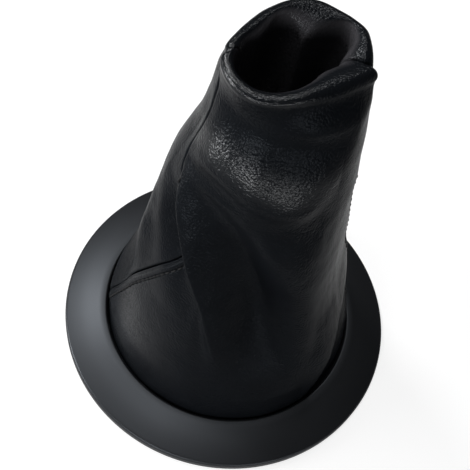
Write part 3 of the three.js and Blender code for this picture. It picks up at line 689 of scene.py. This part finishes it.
# Materials; lengths in them are in metres
class Graph:
    """The nodes of one material, with short ways to add and join them."""

    def __init__(self, tree):
        self.nodes, self.links = tree.nodes, tree.links

    def put(self, socket, value):
        """A constant in a socket, or a link to it from another node's output."""
        if isinstance(value, bpy.types.NodeSocket):
            self.links.new(value, socket)
        else:
            socket.default_value = value

    def add(self, kind, settings, inputs):
        """A node with its settings and its inputs; inputs without names go in their order."""
        new = self.nodes.new("ShaderNode" + kind)
        for key, value in settings.items():
            setattr(new, key, value)
        pairs = inputs.items() if isinstance(inputs, dict) else enumerate(inputs)
        for key, value in pairs:
            self.put(new.inputs[key], value)
        return new

    def maths(self, operation, *values, clamp=False):
        """A number worked out from others."""
        return self.add("Math", {"operation": operation, "use_clamp": clamp}, values).outputs[0]

    def vectors(self, operation, *values):
        """A vector node; its outputs are a vector and a number."""
        return self.add("VectorMath", {"operation": operation}, values)

    def noise(self, where, scale, detail, distortion=0.0):
        """A soft pattern that varies with the place."""
        inputs = {"Vector": where, "Scale": scale, "Detail": detail, "Distortion": distortion}
        return self.add("TexNoise", {}, inputs)

    def attribute(self, name, output="Fac"):
        """A value stored at the points of the mesh."""
        return self.add("Attribute", {"attribute_name": name}, {}).outputs[output]

    def spread(self, value, start, stop, low, high, kind="LINEAR"):
        """A number that goes from low to high while the value goes from start to stop."""
        inputs = {"Value": value, "From Min": start, "From Max": stop,
                  "To Min": low, "To Max": high}
        return self.add("MapRange", {"interpolation_type": kind}, inputs).outputs[0]

    def mix(self, factor, first, second):
        """A colour between two."""
        inputs = {"Factor": factor, "A": first, "B": second}
        return self.add("Mix", {"data_type": "RGBA"}, inputs).outputs["Result"]

    def bump(self, height, strength, distance):
        """A surface direction tilted by a height."""
        inputs = {"Height": height, "Strength": strength, "Distance": distance}
        return self.add("Bump", {}, inputs).outputs[0]


def new_material(name):
    """A material with its nodes and its shader, and the object's own coordinates."""
    mat = bpy.data.materials.new(name)
    mat.use_nodes = True
    graph = Graph(mat.node_tree)
    where = graph.add("TexCoord", {}, {}).outputs["Object"]
    return mat, graph, graph.nodes["Principled BSDF"], where


def leather_grain(graph, where):
    """Height of the hide's surface: rounded pebbles of the grain, with finer pores in them."""
    warp = graph.noise(where, 700.0, 2.0).outputs["Color"]
    shifted = graph.vectors("MULTIPLY_ADD", warp, (0.0006, 0.0006, 0.0006), where).outputs[0]
    cells = graph.add("TexVoronoi", {"feature": "F1"}, {"Vector": shifted, "Scale": 1250.0})
    dome = graph.maths("POWER", cells.outputs["Distance"], 2.0)
    pores = graph.noise(where, 1500.0, 3.0).outputs["Fac"]
    return graph.maths("MULTIPLY_ADD", dome, -1.0, pores)


def mottled(graph, slow, base):
    """A base colour that varies slowly to a darker and a lighter one."""
    dark, light = ((*(c * share for c in base), 1) for share in (0.75, 1.35))
    return graph.mix(slow, dark, light)


LEATHER_SPECULAR = 0.06
LEATHER_TINT = (0.80, 0.89, 1.0, 1)
GRAIN_DEPTH = 0.00012


def leather_material():
    """Black grained leather, shiny where the polish attribute says so."""
    mat, graph, bsdf, where = new_material("black_leather")
    slow = graph.noise(where, 55.0, 3.0).outputs["Fac"]
    polished = graph.attribute("polish")
    wrinkled = graph.attribute("wrinkle")
    rough = graph.spread(slow, 0.0, 1.0, 0.18, 0.30)
    graph.put(bsdf.inputs["Roughness"], graph.maths("MULTIPLY_ADD", polished, -0.06, rough))
    # short creases across the grain where the leather is bent
    stretch = graph.add("Mapping", {}, {"Vector": graph.attribute("around", "Vector"),
                                        "Scale": (1700.0, 420.0, 1.0)}).outputs[0]
    creases = graph.noise(stretch, 1.0, 2.0, 0.6).outputs["Fac"]
    creased = graph.maths("MULTIPLY", creases, wrinkled)
    height = graph.maths("MULTIPLY_ADD", creased, 1.5, leather_grain(graph, where))
    bump = graph.bump(height, 1.0, GRAIN_DEPTH)
    graph.put(bsdf.inputs["Normal"], bump)
    # painted light: the leather turned down inside the rim gets a paler base colour, standing in
    # for the light that falls into the mouth
    turned = graph.spread(wrinkled, 0.5, 1.0, 0.0, 1.0)
    black = mottled(graph, slow, (0.0048, 0.0056, 0.0070))
    graph.put(bsdf.inputs["Base Color"], graph.mix(turned, black, (0.042, 0.041, 0.045, 1)))
    graph.put(bsdf.inputs["Coat Weight"], graph.maths("MULTIPLY", polished, 0.45))
    graph.put(bsdf.inputs["Coat Normal"], bump)
    bsdf.inputs["Coat Roughness"].default_value = 0.2
    bsdf.inputs["Specular IOR Level"].default_value = LEATHER_SPECULAR
    bsdf.inputs["Specular Tint"].default_value = LEATHER_TINT
    return mat


def flesh_material():
    """The rough flesh side of the leather."""
    mat, graph, bsdf, where = new_material("leather_flesh_side")
    slow = graph.noise(where, 55.0, 3.0).outputs["Fac"]
    graph.put(bsdf.inputs["Roughness"], graph.spread(slow, 0.0, 1.0, 0.75, 0.95))
    graph.put(bsdf.inputs["Normal"], graph.bump(leather_grain(graph, where), 1.0, GRAIN_DEPTH))
    graph.put(bsdf.inputs["Base Color"], mottled(graph, slow, (0.020, 0.019, 0.018)))
    bsdf.inputs["Specular IOR Level"].default_value = LEATHER_SPECULAR
    bsdf.inputs["Specular Tint"].default_value = LEATHER_TINT
    return mat


def plastic_material():
    """Satin black plastic, its sharp edges painted paler as a painted highlight."""
    mat, graph, bsdf, where = new_material("moulded_plastic")
    fine = graph.noise(where, 2400.0, 2.0).outputs["Fac"]
    slow = graph.noise(where, 26.0, 4.0).outputs["Fac"]
    graph.put(bsdf.inputs["Roughness"], graph.spread(slow, 0.0, 1.0, 0.38, 0.46))
    # painted highlight: the sharp edges of the moulding get a paler base colour, standing in for
    # light caught along them
    pointed = graph.add("NewGeometry", {}, {}).outputs["Pointiness"]
    edge = graph.spread(pointed, 0.52, 0.62, 0.0, 1.0)
    colour = graph.mix(edge, (0.0065, 0.0065, 0.0072, 1), (0.030, 0.030, 0.031, 1))
    graph.put(bsdf.inputs["Base Color"], colour)
    graph.put(bsdf.inputs["Normal"], graph.bump(fine, 0.18, 0.00005))
    bsdf.inputs["Specular IOR Level"].default_value = 0.5
    bsdf.inputs["Specular Tint"].default_value = (0.84, 0.91, 1.0, 1)
    return mat


def thread_material():
    """Twisted black sewing thread."""
    mat, graph, bsdf, where = new_material("sewing_thread")
    twist = graph.noise(where, 5200.0, 1.0).outputs["Fac"]
    colour = graph.mix(twist, (0.003, 0.003, 0.0034, 1), (0.010, 0.010, 0.011, 1))
    graph.put(bsdf.inputs["Base Color"], colour)
    graph.put(bsdf.inputs["Normal"], graph.bump(twist, 0.5, 0.00008))
    bsdf.inputs["Roughness"].default_value = 0.6
    bsdf.inputs["Specular IOR Level"].default_value = 0.25
    return mat


leather, flesh_side = leather_material(), flesh_material()
plastic, thread = plastic_material(), thread_material()
for obj in (front, rear):
    obj.data.materials.append(leather)
    obj.data.materials.append(flesh_side)
for obj in (left_stitches, right_stitches):
    obj.data.materials.append(thread)
ring.data.materials.append(plastic)

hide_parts("front_panel")
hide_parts("rear_panel")
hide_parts("left_seam_thread")
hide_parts("right_seam_thread")
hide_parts("bezel_ring")
for obj, name in ((front, "leather"), (rear, "leather"), (left_stitches, "thread"),
                  (right_stitches, "thread"), (ring, "ring_plastic")):
    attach(obj, "root")

# Floor: a plain white sheet that keeps the shadow
bpy.ops.mesh.primitive_plane_add(size=6.0, location=(0, 0, -0.0002))
floor = bpy.context.object
floor.name = "studio_floor"

# What the object reflects is a white card with straight edges, dimmed; beyond it all is dark.
# Corners of the card, and the width of its soft edge, in metres
CARD = [(-0.176, 0.158), (-0.074, -0.100), (0.122, -0.050), (0.112, 0.275)]
CARD_EDGE = 0.006
CARD_SHARE = 0.4
FLOOR_GLOW = 0.76


def floor_material():
    """Pale paint, with a glow that brings the background to white."""
    mat, graph, paint, where = new_material("white_sheet")
    paint.inputs["Base Color"].default_value = (0.35, 0.35, 0.35, 1)
    paint.inputs["Roughness"].default_value = 0.9
    paint.inputs["Specular IOR Level"].default_value = 0.0
    card = 1.0
    for k, (x0, y0) in enumerate(CARD):
        x1, y1 = CARD[(k + 1) % len(CARD)]
        size = math.hypot(x1 - x0, y1 - y0)
        inward = (-(y1 - y0) / size, (x1 - x0) / size, 0.0)
        start = x0 * inward[0] + y0 * inward[1]
        reach = graph.vectors("DOT_PRODUCT", where, inward).outputs["Value"]
        edge = graph.spread(reach, start, start + CARD_EDGE, 0.0, 1.0, "SMOOTHSTEP")
        card = graph.maths("MULTIPLY", edge, card)
    rays = graph.add("LightPath", {}, {}).outputs
    mirrored = graph.maths("ADD", rays["Is Glossy Ray"], rays["Is Transmission Ray"], clamp=True)
    sheen = graph.maths("MULTIPLY", graph.maths("MULTIPLY", mirrored, card), CARD_SHARE)
    seen = graph.maths("ADD", rays["Is Camera Ray"], sheen, clamp=True)
    glow = graph.add("Emission", {}, {"Color": (1, 1, 1, 1),
                                      "Strength": graph.maths("MULTIPLY", seen, FLOOR_GLOW)})
    both = graph.add("AddShader", {}, (paint.outputs[0], glow.outputs[0]))
    graph.put(graph.nodes["Material Output"].inputs["Surface"], both.outputs[0])
    return mat


floor.data.materials.append(floor_material())

# Camera at the photograph's angle
ELEVATION = math.radians(56.82)
ROLL = math.radians(14.65)
DISTANCE = 355.8
TARGET = Vector((-4.79, 39.67, 0.0))
FOCAL_PIXELS = 750.0
PICTURE_PIXELS = 470.0
SENSOR_WIDTH = 36.0
back = Vector((0, -math.cos(ELEVATION), math.sin(ELEVATION)))
place = (TARGET + back * DISTANCE) * MM
level = Vector((0, 0, 1)).cross(back).normalized()
up = back.cross(level)
side = level * math.cos(ROLL) + up * math.sin(ROLL)
top = -level * math.sin(ROLL) + up * math.cos(ROLL)
camera_data = bpy.data.cameras.new("camera")
camera_data.sensor_width = SENSOR_WIDTH
camera_data.lens = SENSOR_WIDTH * FOCAL_PIXELS / PICTURE_PIXELS
camera_data.clip_start = 0.01
camera = bpy.data.objects.new("camera", camera_data)
camera.matrix_world = Matrix(((side.x, top.x, back.x, place.x), (side.y, top.y, back.y, place.y),
                              (side.z, top.z, back.z, place.z), (0, 0, 0, 1)))
bpy.context.scene.collection.objects.link(camera)
bpy.context.scene.camera = camera

# Light: a window at the left and a low wide one, small ones above and behind, two low in front.
# Name, place, target, width and height in metres, watts
LAMPS = [
    ("window", (-0.48, 0.27, 0.74), (0, 0, 0.06), 0.15, 0.15, 3.5),
    ("low_window", (-0.86, -0.20, 0.27), (0, 0, 0.06), 0.38, 0.40, 6.4),
    ("top", (-0.16, -0.04, 0.97), (0, 0, 0.06), 0.25, 0.25, 1.9),
    ("crest", (0.02, 0.52, 0.80), (0, 0, 0.12), 0.22, 0.14, 1.0),
    ("front", (-0.28, -0.88, 0.26), (0, 0, 0.12), 0.60, 0.12, 3.4),
    ("front_right", (0.52, -0.78, 0.16), (0, 0, 0.12), 0.50, 0.20, 1.4),
]
for name, place, target, width, height, watts in LAMPS:
    data = bpy.data.lights.new(name, "AREA")
    data.shape = "RECTANGLE"
    data.size = width
    data.size_y = height
    data.energy = watts
    obj = bpy.data.objects.new(name, data)
    obj.location = place
    obj.rotation_euler = (Vector(target) - Vector(place)).to_track_quat("-Z", "Y").to_euler()
    bpy.context.scene.collection.objects.link(obj)
world = bpy.data.worlds.new("studio")
world.use_nodes = True
world.node_tree.nodes["Background"].inputs["Color"].default_value = (0.9, 0.95, 1.0, 1)
world.node_tree.nodes["Background"].inputs["Strength"].default_value = 0.045
bpy.context.scene.world = world
bpy.context.scene.view_settings.view_transform = "Standard"
